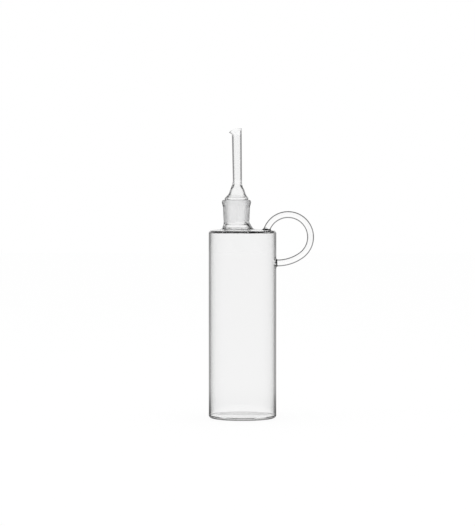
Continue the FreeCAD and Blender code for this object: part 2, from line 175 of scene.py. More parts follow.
class GlassLook(PropertyGroup):
    """Finish of the glass, with painted shade along its edges."""

    ior: FloatProperty(
        name="IOR", default=1.47, min=1.0, max=2.5, description="How strongly clear glass bends light"
    )
    clear: colour("Clear", (0.995, 0.995, 0.995), "Tint of the glass seen straight through")
    # Painted shade: grey of the glass where it is seen along its surface, standing in for the dim room
    # seen in and through it
    edge: colour("Edge", (0.85, 0.85, 0.85), "Tint of the glass seen along its surface")
    ground: colour("Ground", (0.96, 0.961, 0.962), "Tint of the ground joint")
    ground_roughness: tone("Ground roughness", 0.8, "Roughness of the ground joint")
    ground_ior: FloatProperty(
        name="Ground IOR",
        default=1.1,
        min=1.0,
        max=2.5,
        description="How strongly the ground joint bends light",
    )
    # Painted shade: grey of slanted glass that faces up or down, seen along its surface
    bend_edge: colour("Bend edge", (0.0, 0.0, 0.0), "Tint of slanted glass seen along its surface")
    bend_start: tone("Bend edge start", 0.3, "Slant to the eye at which slanted glass starts to darken")
    bend_end: tone("Bend edge end", 0.72, "Slant to the eye at which slanted glass is darkest")
    wave: tone("Wave", 0.5, "Depth of the faint waves that drawing leaves in clear glass")
    grain: tone("Grain", 0.3, "Depth of the grain of the ground joint")
    # Painted shade: grey of the handle where it is seen along its surface, standing in for the dark room
    # seen in and through the rod
    rod_edge: colour("Rod edge", (0.03, 0.03, 0.03), "Tint of the handle seen along its surface")
    rod_start: tone("Rod edge start", 0.2, "Slant of the surface at which the handle starts to darken")
    rod_end: tone("Rod edge end", 0.35, "Slant of the surface at which the handle is darkest")


class StudioLook(PropertyGroup):
    """Floor, light and camera."""

    camera_distance: length("Camera distance", 2.0, "Distance from the camera to the bottle")
    eye_level: length("Eye level", 0.212, "Height of the camera")
    pitch: turn("Pitch", -1.799, "Tilt of the camera, negative looks down")
    yaw: turn("Yaw", 0.138, "Turn of the camera, positive looks left")
    lens: FloatProperty(
        name="Lens", default=142.36, min=1.0, description="Focal length", subtype="DISTANCE_CAMERA"
    )
    floor_size: length("Floor size", 12.0, "Side of the floor")
    floor_keep: tone("Floor shadow", 0.09, "Share of the floor's look that takes light and shadow")
    room: tone("Room", 0.30, "Grey of the room that the glass reflects")
    ceiling: tone("Ceiling", 0.03, "Grey of the room overhead in reflections")
    haze: tone("Haze", 1.0, "Grey of the bright band that reflections show a little above level")
    haze_foot: tone("Haze foot", 0.06, "Sine of the angle at which that band starts")
    haze_top: tone("Haze top", 0.24, "Sine of the angle up to which that band reaches")
    steep: tone("Steep", 0.9, "Grey of the floor in reflections that look steeply down")
    steep_start: tone("Steep start", 0.84, "Slant to the floor at which that grey ends")
    overhead: tone("Overhead", 1.0, "Grey of the room overhead seen through the glass")
    # Painted shade: grey of the floor close to the bottle, seen in reflections only
    table: tone("Table", 0.03, "Grey of the floor close to the bottle in reflections")
    table_reach: length("Table reach", 0.35, "How far the dim part of the floor reaches")
    backdrop_top: tone("Backdrop top", 0.34, "Sine of the angle up to which the backdrop is white")
    backdrop_fade: tone("Backdrop fade", 0.12, "Rise of that sine over which the backdrop ends")
    lamps: FloatProperty(
        name="Lamps", default=3.0, min=0.0, description="Power of each lamp", unit="POWER"
    )
    fill: tone("Fill", 1.0, "Strength of the plain light from all around")


# -----------------------------------------------------------------------------
# Shaping
# -----------------------------------------------------------------------------

Ring = namedtuple("Ring", "level centre radius width reach", defaults=(None, 0.0))
ROUND_SEGMENTS = 8
SEAM_GAP = 0.000005
SHORTEST_EDGE = 0.000003  # edges under this length merge after a piece is carved


def fit(ring):
    """Matrix that puts a unit circle where the ring is."""
    size = Matrix.Diagonal((ring.radius, ring.width or ring.radius, 1, 1))
    return Matrix.Translation((ring.centre, 0, ring.level)) @ size


def edge_loop(verts):
    """Edges that run between the given vertices."""
    chosen = set(verts)
    return list({edge for vert in verts for edge in vert.link_edges if edge.other_vert(vert) in chosen})


def skin(bm, rings, segments, closed=False):
    """Draws a circle out from ring to ring into one skin, then rounds the rings that state a reach."""
    first = bmesh.ops.create_circle(
        bm, cap_ends=False, segments=segments, radius=1, matrix=fit(rings[0])
    )
    loops = [edge_loop(first["verts"])]
    steps = list(zip(rings, rings[1:]))
    if closed:
        steps.append((rings[-1], rings[0]))
    for here, there in steps:
        made = bmesh.ops.extrude_edge_only(bm, edges=loops[-1])["geom"]
        verts = [item for item in made if isinstance(item, bmesh.types.BMVert)]
        bmesh.ops.transform(bm, matrix=fit(there) @ fit(here).inverted(), verts=verts)
        loops.append(edge_loop(verts))
    if closed:
        seam = {vert for edge in loops[0] + loops.pop() for vert in edge.verts}
        bmesh.ops.remove_doubles(bm, verts=list(seam), dist=SEAM_GAP)
    for ring, loop in zip(rings, loops):
        if ring.reach:
            round_off(bm, loop, ring.reach)
    return loops


def round_off(bm, edges, reach, segments=ROUND_SEGMENTS):
    """Rounds edges with an even arc."""
    bmesh.ops.bevel(
        bm,
        geom=edges,
        offset=reach,
        offset_type="OFFSET",
        affect="EDGES",
        segments=segments,
        profile=0.5,
        material=-1,
        clamp_overlap=False,
    )


def between(first, second, count):
    """Evenly spaced rings strictly between two."""
    made = []
    for step in range(1, count + 1):
        share = step / (count + 1)
        values = [a + (b - a) * share for a, b in zip(first[:3], second[:3])]
        made.append(Ring(*values))
    return made


def filled(stops):
    """Rings from (ring, count) pairs, with that many more rings between each ring and the next."""
    rings = []
    for index, (ring, count) in enumerate(stops):
        rings.append(ring)
        if count:
            rings += between(ring, stops[index + 1][0], count)
    return rings


def new_piece(name, bm):
    """A smooth object at the origin from a closed bmesh, with its faces turned outwards."""
    bmesh.ops.recalc_face_normals(bm, faces=bm.faces)
    if bm.calc_volume(signed=True) < 0:
        bmesh.ops.reverse_faces(bm, faces=bm.faces)
    for face in bm.faces:
        face.smooth = True
    mesh = bpy.data.meshes.new(name)
    bm.to_mesh(mesh)
    bm.free()
    piece = bpy.data.objects.new(name, mesh)
    bpy.context.scene.collection.objects.link(piece)
    return piece


def carve(piece, tool, operation):
    """Joins a closed tool to a piece, or cuts it out of the piece, and removes the tool."""
    step = piece.modifiers.new("Carve", "BOOLEAN")
    step.object = tool
    step.operation = operation
    step.solver = "EXACT"
    bpy.context.view_layer.update()
    graph = bpy.context.evaluated_depsgraph_get()
    made = bpy.data.meshes.new_from_object(piece.evaluated_get(graph))
    bm = bmesh.new()
    bm.from_mesh(made)
    bmesh.ops.remove_doubles(bm, verts=bm.verts, dist=SHORTEST_EDGE)
    bm.to_mesh(made)
    bm.free()
    piece.modifiers.remove(step)
    old = piece.data
    piece.data = made
    made.name = piece.name
    bpy.data.meshes.remove(old)
    bpy.data.objects.remove(tool)


# -----------------------------------------------------------------------------
# Bottle
# -----------------------------------------------------------------------------

BARREL_ROWS = 40
STRAIGHT = 0.0004  # run of the barrel's wall left straight beside a rounding
STAND_WIDTH = 0.0022  # flat part of the ring that the bottle stands on
DOME_EDGE_ROUND = 0.001
DOME_SHARES = (0.1, 0.3, 0.5, 0.7, 0.85)  # of the dome's radius, where its rows lie
FLANGE_ROOT_ROUND = 0.0012
FLANGE_UNDER_ROUND = 0.0008
FLANGE_CROWN = 0.0008  # drop of the flange's edge below the mouth
FLANGE_EDGE_ROUND = 0.0011
MOUTH_EDGE_ROUND = 0.0004
FLANGE_ROOT_DROP = 0.0016  # how far the neck's last ring lies under the flange's flare
INNER_FOOT = (0.0012, 0.0031, 0.0017)  # inside the neck's foot: shift, widening and rounding
INNER_FOOT_DROP = 0.001  # how far the bore starts to widen below the top of the neck's foot
FLAT_BESIDE = 0.0005  # run left straight beside a rounding inside
FLOOR_CENTRE = 0.002  # radius of the face in the middle of the inside floor
NECK_FOOT_HEIGHT = 0.0064
# Hollow of the neck's foot from below: rise over the shoulder's upper end, centre and radius
NECK_FOOT = (
    (-0.0003, -0.0045, 0.0161),
    (0.0001, -0.00457, 0.01545),
    (0.0006, -0.00464, 0.0149),
    (0.0016, -0.0049, 0.0143),
    (0.0026, -0.00505, 0.0138),
    (0.0045, -0.0053, 0.0129),
)
GROUND_SLANT = 0.083  # slope of the lower end of the ground part
GROUND_FOOT = 0.0004  # height of that end over the socket's lower end
GROUND_NEAR = 0.004  # depth under that end down to which faces may be cut
GROUND_MARGIN = 0.0002  # how far outside the socket's radius a ground face may lie
SOCKET_DEEP = 0.0015  # and how far inside it, as the socket narrows
CUT_TOLERANCE = 1e-7
STEEP = 0.3  # highest Z of the normal of a face that counts as a wall


def bottle_rings(s):
    """Rings of the bottle's glass: under the base, up outside, over the mouth and down inside."""
    axis = s.neck_axis
    dome = s.barrel_radius - s.heel_round - s.foot_ring
    top = s.shoulder_level + s.shoulder_rise
    socket_bottom = s.mouth_level - s.socket_depth
    bore = s.socket_radius - s.socket_depth * s.taper
    neck = bore + s.neck_wall
    neck_start = top + NECK_FOOT_HEIGHT
    root = s.mouth_level - s.flange_height - s.flange_flare
    root_radius = s.socket_radius + s.neck_wall - (s.mouth_level - root) * s.taper
    inner = s.barrel_radius - s.wall
    ceiling = s.shoulder_level - s.shoulder_wall
    under = [Ring(s.push_up * (1 - share**2), 0, dome * share) for share in DOME_SHARES]
    outside = filled([
        (Ring(0, 0, dome, reach=DOME_EDGE_ROUND), 0),
        (Ring(0, 0, dome + STAND_WIDTH), 0),
        (Ring(0, 0, s.barrel_radius, reach=s.heel_round), 0),
        (Ring(s.heel_round + STRAIGHT, 0, s.barrel_radius), BARREL_ROWS),
        (Ring(s.shoulder_level - s.shoulder_round - STRAIGHT, 0, s.barrel_radius), 0),
        (Ring(s.shoulder_level, 0, s.barrel_radius, reach=s.shoulder_round), 2),
        *((Ring(top + rise, centre, radius), 0) for rise, centre, radius in NECK_FOOT),
        (Ring(neck_start, axis, neck + (neck_start - socket_bottom) * s.taper), 8),
        (Ring(root - FLANGE_ROOT_DROP, axis, root_radius - FLANGE_ROOT_DROP * s.taper), 0),
        (Ring(root, axis, root_radius, reach=FLANGE_ROOT_ROUND), 0),
        (Ring(s.mouth_level - s.flange_height, axis, s.flange_radius, reach=FLANGE_UNDER_ROUND), 0),
        (Ring(s.mouth_level - FLANGE_CROWN, axis, s.flange_radius, reach=FLANGE_EDGE_ROUND), 0),
        (Ring(s.mouth_level, axis, s.socket_radius, reach=MOUTH_EDGE_ROUND), 12),
        (Ring(socket_bottom, axis, bore), 0),
    ])
    shift, widening, rounding = INNER_FOOT
    inside = filled([
        (Ring(neck_start - INNER_FOOT_DROP, axis, bore), 3),
        (Ring(ceiling + s.inner_rise, axis + shift, bore + widening, reach=rounding), 2),
        (Ring(ceiling, 0, inner, reach=s.inner_shoulder_round), 0),
        (Ring(ceiling - s.inner_shoulder_round - FLAT_BESIDE, 0, inner), BARREL_ROWS),
        (Ring(s.base + s.inner_heel_round + STRAIGHT, 0, inner), 0),
        (Ring(s.base, 0, inner, reach=s.inner_heel_round), 0),
        (Ring(s.base, 0, inner - s.inner_heel_round - FLAT_BESIDE), 5),
        (Ring(s.base, 0, FLOOR_CENTRE), 0),
    ])
    return under + outside + inside


def grind(bm, s, depth, top):
    """Marks the joint's ground faces: walls in or near the socket, under a level and over a slant."""
    foot = Vector((s.neck_axis, 0, s.mouth_level - s.socket_depth + GROUND_FOOT))
    slant = Vector((-GROUND_SLANT, 0, 1)).normalized()
    near = [
        item
        for item in (*bm.verts, *bm.edges, *bm.faces)
        if (item.co if isinstance(item, bmesh.types.BMVert) else middle(item)).z > foot.z - GROUND_NEAR
    ]
    bmesh.ops.bisect_plane(bm, geom=near, dist=CUT_TOLERANCE, plane_co=foot, plane_no=slant)
    inner = s.socket_radius - depth
    outer = s.socket_radius + GROUND_MARGIN
    for face in bm.faces:
        place = face.calc_center_median()
        radius = math.hypot(place.x - s.neck_axis, place.y)
        wall = abs(face.normal.z) < STEEP and inner < radius < outer
        if wall and place.z < top and (place - foot).dot(slant) > 0:
            face.material_index = GROUND


def middle(item):
    """Mean place of an edge's or a face's corners."""
    return sum((vert.co for vert in item.verts), Vector()) / len(item.verts)


class OILBOTTLE_OT_bottle(Operator):
    """Make the barrel, shoulder and neck as one shell of glass"""

    bl_idname = "oilbottle.bottle"
    bl_label = "Make the bottle"

    def execute(self, context):
        sizes = context.scene.oil_bottle
        bm = bmesh.new()
        loops = skin(bm, bottle_rings(sizes), sizes.segments)
        bmesh.ops.edgeloop_fill(bm, edges=loops[0])
        bmesh.ops.edgeloop_fill(bm, edges=loops[-1])
        grind(bm, sizes, depth=SOCKET_DEEP, top=sizes.mouth_level - FLANGE_CROWN)
        piece = new_piece("bottle_shell", bm)
        dress(context, piece)
        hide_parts("bottle")
        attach(piece, "root")
        return {"FINISHED"}


# -----------------------------------------------------------------------------
# Handle
# -----------------------------------------------------------------------------

FOOT_STEPS = 6
FOOT_ARC = 72  # degrees of the arc that a melted foot follows
FOOT_SINK = 0.0009  # how far a melted foot ends inside the glass
FOOT_GAP = 0.0004  # plain rod left between the bend and a melted foot
FOOT_RISE = 0.0009  # how far the shoulder has climbed where the upper foot stands
SHOULDER_RUN = 0.0217  # width of the shoulder's slope on the handle's side
BEND_STEPS = 16
RING_STEPS = 110
SLIDE_ROUNDS = 5
PROBE = 1e-5  # short step that finds how fast a height changes


def slide(vert, way, height, lift):
    """Moves a vertex along a direction until it stands that high over a surface."""
    for _ in range(SLIDE_ROUNDS):
        gap = height(vert.co) - lift
        ahead = height(vert.co + way * PROBE) - lift
        rate = (ahead - gap) / PROBE
        vert.co -= way * (gap / rate)


def melt_foot(bm, edges, way, height, s):
    """Widens a rod's end ring into a melted foot on a surface, and ends it inside the glass."""
    radius = s.rod_radius
    for step in range(1, FOOT_STEPS + 2):
        made = bmesh.ops.extrude_edge_only(bm, edges=edges)["geom"]
        edges = [item for item in made if isinstance(item, bmesh.types.BMEdge)]
        verts = [item for item in made if isinstance(item, bmesh.types.BMVert)]
        angle = math.radians(FOOT_ARC) * min(step, FOOT_STEPS) / FOOT_STEPS
        lift = s.weld * (1 - math.sin(angle)) if step <= FOOT_STEPS else -FOOT_SINK
        wide = s.rod_radius + s.weld * (1 - math.cos(angle))
        centre = sum((vert.co for vert in verts), Vector()) / len(verts)
        for vert in verts:
            out = vert.co - centre
            out -= way * out.dot(way)
            vert.co += out * (wide / radius - 1)
            slide(vert, way, height, lift)
        radius = wide
    bmesh.ops.edgeloop_fill(bm, edges=edges)


class OILBOTTLE_OT_handle(Operator):
    """Bend a glass rod into the ring handle and melt both its ends onto the bottle"""

    bl_idname = "oilbottle.handle"
    bl_label = "Make the handle"

    def execute(self, context):
        sizes = context.scene.oil_bottle
        s = context.scene.oil_bottle_handle
        ring = Vector((sizes.barrel_radius + s.ring_reach, 0, sizes.shoulder_level - s.ring_drop))
        step_back = s.bend_radius - s.ring_radius
        bend = ring + Vector((-math.cos(s.bend_turn), 0, math.sin(s.bend_turn))) * step_back

        def wall_height(point):
            return math.hypot(point.x, point.y) - sizes.barrel_radius

        def shoulder_height(point):
            share = (sizes.barrel_radius - math.hypot(point.x, point.y)) / SHOULDER_RUN
            return point.z - sizes.shoulder_level - sizes.shoulder_rise * share

        clear = s.weld + FOOT_GAP
        start = -math.acos((sizes.barrel_radius + clear - bend.x) / s.bend_radius)
        end = math.pi - math.asin((s.ring_drop + FOOT_RISE + clear) / s.ring_radius)
        place = bend + Vector((math.cos(start), 0, math.sin(start))) * s.bend_radius
        bm = bmesh.new()
        made = bmesh.ops.create_circle(
            bm,
            cap_ends=False,
            segments=s.segments,
            radius=s.rod_radius,
            matrix=Matrix.Translation(place) @ Matrix.Rotation(-start, 4, "Y"),
        )
        first = list({edge for vert in made["verts"] for edge in vert.link_edges})
        section = first
        bends = ((bend, -s.bend_turn - start, BEND_STEPS), (ring, end + s.bend_turn, RING_STEPS))
        for centre, span, steps in bends:
            swept = bmesh.ops.spin(
                bm, geom=section, cent=centre, axis=(0, -1, 0), angle=span, steps=steps, use_merge=False
            )
            section = [item for item in swept["geom_last"] if isinstance(item, bmesh.types.BMEdge)]
        down = Vector((-math.sin(end), 0, math.cos(end)))
        back = Vector((math.sin(start), 0, -math.cos(start)))
        melt_foot(bm, section, down, shoulder_height, s)
        melt_foot(bm, first, back, wall_height, s)
        for face in bm.faces:
            face.material_index = ROD
        rod = new_piece("handle_rod", bm)
        dress(context, rod)
        carve(bpy.data.objects["bottle_shell"], rod, "UNION")
        return {"FINISHED"}


# -----------------------------------------------------------------------------
# Pourer
# -----------------------------------------------------------------------------

# Collar: height over its underside, centre, and radius next to the collar's own
COLLAR = (
    (0.00005, 0, 0),
    (0.0006, 0, 0),
    (0.0014, 0.0001, -0.0001),
)
COLLAR_TOP = (-0.0005, 0.0001, -0.0007)  # the same from the collar's top
FLARE_FOOT = (0.0002, 0.0003, 0.0098)  # height over the collar's top, centre and radius
# From the collar up to the tube: level, centre, radius, and the count of rows up to the next.
# The flare leans a little, so its centres move.
FLARE_OUTSIDE = (
    (0.0042, 0.0005, 0.0089, 0),
    (0.0051, 0.0006, 0.00838, 0),
    (0.0063, 0.0007, 0.00783, 1),
    (0.0085, 0.0007, 0.00715, 1),
    (0.0110, 0.0007, 0.00617, 0),
    (0.0126, 0.0006, 0.00542, 0),
    (0.0140, 0.0006, 0.00488, 1),
    (0.0165, 0.0008, 0.00448, 0),
    (0.0178, 0.0009, 0.00438, 0),
    (0.0200, 0.00087, 0.00438, 24),
)
# The same inside, from the tube down to the flare, where the wall is thick
TUBE_FOOT_INSIDE = (
    (0.0200, 0.00087, 0.00301, 0),
    (0.0178, 0.0009, 0.0030, 0),
    (0.0165, 0.0008, 0.0029, 1),
    (0.0146, 0.0007, 0.0031, 0),
    (0.0134, 0.0006, 0.0035, 0),
    (0.0122, 0.0006, 0.0042, 0),
)
# The same on down the flare. The wall is taken off these radii.
FLARE_INSIDE = (
    (0.0108, 0.0007, 0.00625, 1),
    (0.0085, 0.0007, 0.00715, 1),
    (0.0061, 0.0007, 0.0079, 0),
    (0.0046, 0.0005, 0.0085, 0),
)
# The same through the collar
COLLAR_INSIDE = (
    (0.0030, 0.0003, 0.0089, 0),
    (0.0010, 0.0001, 0.0093, 0),
)
PLUG_TOP_LEVEL = -0.0012  # where the plug's bore starts to follow its taper
TUBE_TOP_SHIFT = 0.0003  # how far the tube's top stands off the neck's axis
TIP_HEIGHT = 0.0008  # part of the plug next to its end
PLUG_END_ROUND = 0.0006
PLUG_STEP = 0.00002  # how much the plug widens up to the collar's underside
PLUG_DEEP = 0.0014  # how far inside the socket's radius a ground face of the plug may lie
PLUG_CLEAR = 0.0002  # how far under the mouth the plug's ground part ends
RIM_ROUND = 0.0004
RIM_SEGMENTS = 4
VENT_REACH = 0.0064  # from the neck's axis to the middle of the drill
VENT_DEPTH = 0.009
VENT_SPREAD = (0.4, 1.9)  # radius at the drill's inner and outer end, as a share of the hole's
VENT_SEGMENTS = 40


def rows(profile, thickness=0.0):
    """Rings and row counts from a profile's rows, with a wall's thickness taken off."""
    return [(Ring(level, centre, size - thickness), count) for level, centre, size, count in profile]


def pourer_rings(sizes, s):
    """Rings of the pourer's glass: up outside from the plug's end, over the lip and down the bore."""
    plug = sizes.socket_radius - s.seat
    end = plug - s.plug_depth * sizes.taper
    collar = sizes.socket_radius + s.collar_overhang
    collar_top = s.collar_gap + s.collar_height
    edge_rise, edge_centre, edge_step = COLLAR_TOP
    foot_rise, foot_centre, foot_radius = FLARE_FOOT
    mouth = TUBE_TOP_SHIFT - s.lip_reach / 2
    half = s.tube_radius + s.lip_reach / 2
    bore = s.tube_radius - s.tube_wall
    bore_half = half - s.tube_wall
    outside = filled([
        (Ring(-s.plug_depth + TIP_HEIGHT, 0, end + TIP_HEIGHT * sizes.taper), 14),
        (Ring(0, 0, plug), 0),
        (Ring(s.collar_gap, 0, plug + PLUG_STEP), 0),
        *((Ring(s.collar_gap + rise, centre, collar + step), 0) for rise, centre, step in COLLAR),
        (Ring(collar_top + edge_rise, edge_centre, collar + edge_step), 0),
        (Ring(collar_top + foot_rise, foot_centre, foot_radius), 0),
        *rows(FLARE_OUTSIDE),
        (Ring(s.tube_top, TUBE_TOP_SHIFT, s.tube_radius), 0),
        (Ring(s.lip_level, mouth, half, s.tube_radius), 0),
    ])
    rim = [
        Ring(s.height, mouth, half, s.tube_radius),
        Ring(s.height, mouth, bore_half, bore),
    ]
    inside = filled([
        (Ring(s.lip_level, mouth, bore_half, bore), 0),
        (Ring(s.tube_top, TUBE_TOP_SHIFT, bore), 24),
        *rows(TUBE_FOOT_INSIDE),
        *rows(FLARE_INSIDE, s.flare_wall),
        *rows(COLLAR_INSIDE),
        (Ring(PLUG_TOP_LEVEL, 0, plug - s.plug_wall + PLUG_TOP_LEVEL * sizes.taper), 12),
        (Ring(-s.plug_depth, 0, end - s.plug_wall, reach=PLUG_END_ROUND), 0),
        (Ring(-s.plug_depth, 0, end, reach=PLUG_END_ROUND), 0),
    ])
    return outside, rim, inside


def cut_mouth(bm, rim, s):
    """Sets the rim's loops on an arc that falls towards the lip, and rounds them."""
    back = TUBE_TOP_SHIFT + s.tube_radius
    edges = []
    for loop in rim:
        for vert in {vert for edge in loop for vert in edge.verts}:
            run = back - vert.co.x
            vert.co.z = s.height - s.mouth_arc + math.sqrt(s.mouth_arc**2 - run**2)
        edges += loop
    round_off(bm, edges, RIM_ROUND, RIM_SEGMENTS)


def vent_drill(sizes, s):
    """A cone that cuts the air hole through the back of the flare, wider on its way out."""
    bm = bmesh.new()
    place = (sizes.neck_axis + VENT_REACH, 0, sizes.mouth_level + s.vent_level)
    bmesh.ops.create_cone(
        bm,
        cap_ends=True,
        segments=VENT_SEGMENTS,
        radius1=s.vent_radius * VENT_SPREAD[0],
        radius2=s.vent_radius * VENT_SPREAD[1],
        depth=VENT_DEPTH,
        matrix=Matrix.Translation(place) @ Matrix.Rotation(math.pi / 2, 4, "Y"),
    )
    return new_piece("vent_drill", bm)


class OILBOTTLE_OT_pourer(Operator):
    """Make the pourer: its ground plug, collar, flare, vent and tube with a lip"""

    bl_idname = "oilbottle.pourer"
    bl_label = "Make the pourer"

    def execute(self, context):
        sizes = context.scene.oil_bottle
        s = context.scene.oil_bottle_pourer
        outside, rim, inside = pourer_rings(sizes, s)
        bm = bmesh.new()
        loops = skin(bm, outside + rim + inside, sizes.segments // 2, closed=True)
        cut_mouth(bm, loops[len(outside) : len(outside) + len(rim)], s)
        bmesh.ops.translate(bm, verts=bm.verts, vec=(sizes.neck_axis, 0, sizes.mouth_level))
        grind(bm, sizes, depth=PLUG_DEEP, top=sizes.mouth_level - PLUG_CLEAR)
        piece = new_piece("pourer_shell", bm)
        dress(context, piece)
        tool = vent_drill(sizes, s)
        dress(context, tool)
        carve(piece, tool, "DIFFERENCE")
        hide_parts("pourer")
        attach(piece, "root")
        return {"FINISHED"}


# -----------------------------------------------------------------------------
# Shader nodes
# -----------------------------------------------------------------------------


def add_node(tree, kind, **values):
    """A shader node with its settings and its plain inputs."""
    node = tree.nodes.new("ShaderNode" + kind)
    for name, value in values.items():
        if hasattr(node, name):
            setattr(node, name, value)
        else:
            node.inputs[name.replace("_", " ")].default_value = value
    return node


def chain(tree, operation, *values):
    """Math nodes that work through sockets and numbers in turn."""
    result = values[0]
    for value in values[1:]:
        node = add_node(tree, "Math", operation=operation)
        for socket, item in zip(node.inputs, (result, value)):
            if isinstance(item, (int, float)):
                socket.default_value = item
            else:
                tree.links.new(item, socket)
        result = node.outputs[0]
    return result


def choose(tree, share, first, second):
    """Mixes two colours, each a socket, a colour or a grey, by a share."""
    node = add_node(tree, "Mix", data_type="RGBA")
    tree.links.new(share, node.inputs[0])
    for socket, item in ((node.inputs[6], first), (node.inputs[7], second)):
        if isinstance(item, bpy.types.NodeSocket):
            tree.links.new(item, socket)
        else:
            parts = (item, item, item) if isinstance(item, float) else item
            socket.default_value = (*parts, 1)
    return node.outputs[2]


def spread(tree, value, **limits):
    """A value carried from one range to another."""
    node = add_node(tree, "MapRange", **limits)
    tree.links.new(value, node.inputs["Value"])
    return node.outputs["Result"]


def ease(tree, value, start, end, **limits):
    """A value carried smoothly from 0 at its start to 1 at its end, or between the limits given."""
    return spread(tree, value, interpolation_type="SMOOTHSTEP", From_Min=start, From_Max=end, **limits)


def greys(tree, value, stops):
    """A grey read off a ramp of (place, grey) stops."""
    node = add_node(tree, "ValToRGB")
    tree.links.new(value, node.inputs[0])
    ramp = node.color_ramp
    while len(ramp.elements) < len(stops):
        ramp.elements.new(0.5)
    for element, (place, grey) in zip(ramp.elements, stops):
        element.position = place
        element.color = (grey, grey, grey, 1)
    return node.outputs[0]


def height_of(tree, vector):
    """The Z part of a vector socket."""
    split = add_node(tree, "SeparateXYZ")
    tree.links.new(vector, split.inputs[0])
    return split.outputs["Z"]


def slope(tree):
    """How slanted the surface is to the eye, from 0 seen face on to 1 seen along the surface."""
    return add_node(tree, "LayerWeight", Blend=0.5).outputs["Facing"]


# -----------------------------------------------------------------------------
# Finishes, with painted shade along the glass's edges
# -----------------------------------------------------------------------------

EDGE_SHADE_START = 0.5  # slant to the eye at which the painted edge shade starts
EDGE_SHADE_END = 1.0
LEVEL_START = 0.94  # squared Z of the normal at which the painted edge shade starts to fade on level glass
LEVEL_END = 0.985
# Share of the painted bend shade by the way the glass faces: down at 0, sideways at 0.5, up at 1.
# Level faces and upright walls have none.
DOWNWARD_BEND_SHADE = ((0.008, 0.0), (0.035, 1.0), (0.42, 1.0), (0.49, 0.0))
UPWARD_BEND_SHADE = ((0.51, 0.0), (0.58, 0.9), (0.78, 0.9), (0.86, 0.5), (0.965, 0.5), (0.992, 0.0))
NOISE_DETAIL = 3.0
BUMP_DEPTH = 0.0002
WAVE_SCALE = 60.0
WAVE_STRETCH = 0.15
GRAIN_SCALE = 2400.0
GRAIN_SPREAD = 0.15  # share by which the grain raises and lowers the roughness
LEAST_SIDEWAYS = 0.05  # holds the slant across the rod steady where the rod is seen end on


def new_glass(name, ior, roughness=0.0):
    """A see-through material, and its shader."""
    material = bpy.data.materials.new(name)
    material.use_nodes = True
    shader = material.node_tree.nodes["Principled BSDF"]
    shader.inputs["IOR"].default_value = ior
    shader.inputs["Roughness"].default_value = roughness
    shader.inputs["Transmission Weight"].default_value = 1.0
    return material, shader


def roughen(tree, shader, scale, stretch, strength):
    """Bumps the surface with noise, and returns the noise."""
    place = add_node(tree, "TexCoord")
    mapping = add_node(tree, "Mapping", Scale=(1, 1, stretch))
    tree.links.new(place.outputs["Object"], mapping.inputs["Vector"])
    noise = add_node(tree, "TexNoise", Scale=scale, Detail=NOISE_DETAIL)
    tree.links.new(mapping.outputs["Vector"], noise.inputs["Vector"])
    bump = add_node(tree, "Bump", Strength=strength, Distance=BUMP_DEPTH)
    tree.links.new(noise.outputs["Fac"], bump.inputs["Height"])
    tree.links.new(bump.outputs["Normal"], shader.inputs["Normal"])
    return noise.outputs["Fac"]


def clear_glass(context):
    """Clear drawn glass with painted shade along its surface, most of all where it bends, standing in for
    the dim room seen in and through it.
    """
    look = context.scene.oil_bottle_look
    material, shader = new_glass("clear_glass", look.ior)
    tree = material.node_tree
    roughen(tree, shader, WAVE_SCALE, WAVE_STRETCH, look.wave)
    facing = slope(tree)
    rise = height_of(tree, add_node(tree, "NewGeometry").outputs["Normal"])
    # Painted shade where the glass is seen along its surface, fading out on level glass
    along = ease(tree, facing, EDGE_SHADE_START, EDGE_SHADE_END)
    level = chain(tree, "MULTIPLY", rise, rise)
    tilted = spread(tree, level, From_Min=LEVEL_START, From_Max=LEVEL_END, To_Min=1.0, To_Max=0.0)
    clear_tint_and_edge_shade = choose(tree, chain(tree, "MULTIPLY", along, tilted), look.clear, look.edge)
    # Painted shade, darkest on slanted glass that faces up or down
    slanted = ease(tree, facing, look.bend_start, look.bend_end)
    half = chain(tree, "MULTIPLY", rise, 0.5)
    bend = greys(tree, chain(tree, "ADD", half, 0.5), DOWNWARD_BEND_SHADE + UPWARD_BEND_SHADE)
    final = choose(tree, chain(tree, "MULTIPLY", slanted, bend), clear_tint_and_edge_shade, look.bend_edge)
    tree.links.new(final, shader.inputs["Base Color"])
    return material


def ground_glass(context):
    """Ground glass of the joint, frosted with a fine grain."""
    look = context.scene.oil_bottle_look
    rough = look.ground_roughness
    material, shader = new_glass("ground_glass", look.ground_ior, rough)
    tree = material.node_tree
    shader.inputs["Base Color"].default_value = (*look.ground, 1)
    noise = roughen(tree, shader, GRAIN_SCALE, 1, look.grain)
    low, high = rough * (1 - GRAIN_SPREAD), min(rough * (1 + GRAIN_SPREAD), 1.0)
    tree.links.new(spread(tree, noise, To_Min=low, To_Max=high), shader.inputs["Roughness"])
    return material


def rod_glass(context):
    """Clear glass of the handle, with a thin line of painted shade along each side of the rod."""
    look = context.scene.oil_bottle_look
    sizes = context.scene.oil_bottle
    handle = context.scene.oil_bottle_handle
    ring = (sizes.barrel_radius + handle.ring_reach, 0, sizes.shoulder_level - handle.ring_drop)
    material, shader = new_glass("rod_glass", look.ior)
    tree = material.node_tree
    roughen(tree, shader, WAVE_SCALE, WAVE_STRETCH, look.wave)
    # Painted shade along each side of the rod, darkest where the rod's surface is seen along it
    side = ease(tree, across_rod(tree, ring), look.rod_start, look.rod_end)
    tree.links.new(choose(tree, side, look.clear, look.rod_edge), shader.inputs["Base Color"])
    return material


